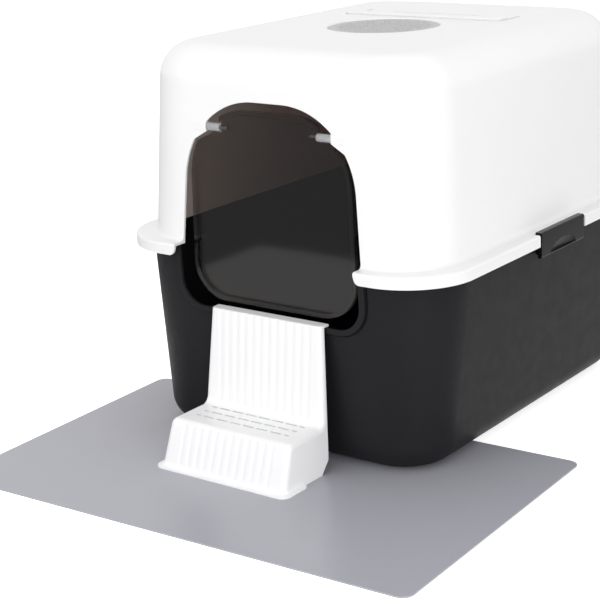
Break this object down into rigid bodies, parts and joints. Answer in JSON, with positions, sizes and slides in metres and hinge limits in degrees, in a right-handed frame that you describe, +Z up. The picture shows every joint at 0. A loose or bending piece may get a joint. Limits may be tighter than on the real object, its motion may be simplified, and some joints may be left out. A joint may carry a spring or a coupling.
{
  "type": "hooded litter box",
  "caption": "Hooded litter box with a swinging flap, a round roof vent, a folding roof handle, side latches, a hooked entry step and a floor mat.",
  "frame": {"origin": "on the floor, under the middle of the whole object's box, the mat included", "axes": "+Z up, -Y out of the doorway, X across the box"},
  "size_m": [0.56, 0.7272, 0.4271],
  "materials": {
    "white_plastic": "smooth moulded white",
    "black_plastic": "satin moulded black",
    "smoked_clear": "smoked clear plastic",
    "clear_pin": "clear plastic",
    "grey_plastic": "matte grey",
    "carbon_pad": "black felt",
    "mat_grey": "matte light grey sheet"
  },
  "bodies": {
    "tub": {"tub": "black_plastic"},
    "mat": {"mat": "mat_grey"},
    "latch_left": {"latch_left": "black_plastic"},
    "latch_right": {"latch_right": "black_plastic"},
    "hood": {"hood": "white_plastic"},
    "flap": {"flap": "smoked_clear", "flap_pin_left": "clear_pin", "flap_pin_right": "clear_pin"},
    "vent_filter": {"filter_cover": "grey_plastic", "carbon_filter": "carbon_pad"},
    "roof_handle": {"roof_handle": "white_plastic"},
    "step": {"step": "white_plastic"}
  },
  "joints": [
    {"name": "hood_lift", "type": "slide", "parent": "tub", "child": "hood", "axis": [0, 0, 1], "range_m": [0, 0.2]},
    {"name": "flap_swing", "type": "hinge", "parent": "hood", "child": "flap", "pos_m": [-0.019, -0.12482, 0.3439], "axis": [1, 0, 0], "range_deg": [-85, 85]},
    {"name": "latch_left_swing", "type": "hinge", "parent": "tub", "child": "latch_left", "pos_m": [-0.2182, 0.11559, 0.1955], "axis": [0, -1, 0], "range_deg": [0, 90]},
    {"name": "latch_right_swing", "type": "hinge", "parent": "tub", "child": "latch_right", "pos_m": [0.1802, 0.11559, 0.1955], "axis": [0, 1, 0], "range_deg": [0, 90]},
    {"name": "filter_lift", "type": "slide", "parent": "hood", "child": "vent_filter", "axis": [0, 0, 1], "range_m": [0, 0.06]},
    {"name": "handle_fold", "type": "hinge", "parent": "hood", "child": "roof_handle", "pos_m": [-0.019, 0.20359, 0.4217], "axis": [-1, 0, 0], "range_deg": [0, 90]},
    {"name": "step_lift", "type": "slide", "parent": "tub", "child": "step", "axis": [0, 0, 1], "range_m": [0, 0.06]},
    {"name": "mat_slide", "type": "slide", "parent": "tub", "child": "mat", "axis": [0, -1, 0], "range_m": [0, 0.25]}
  ]
}
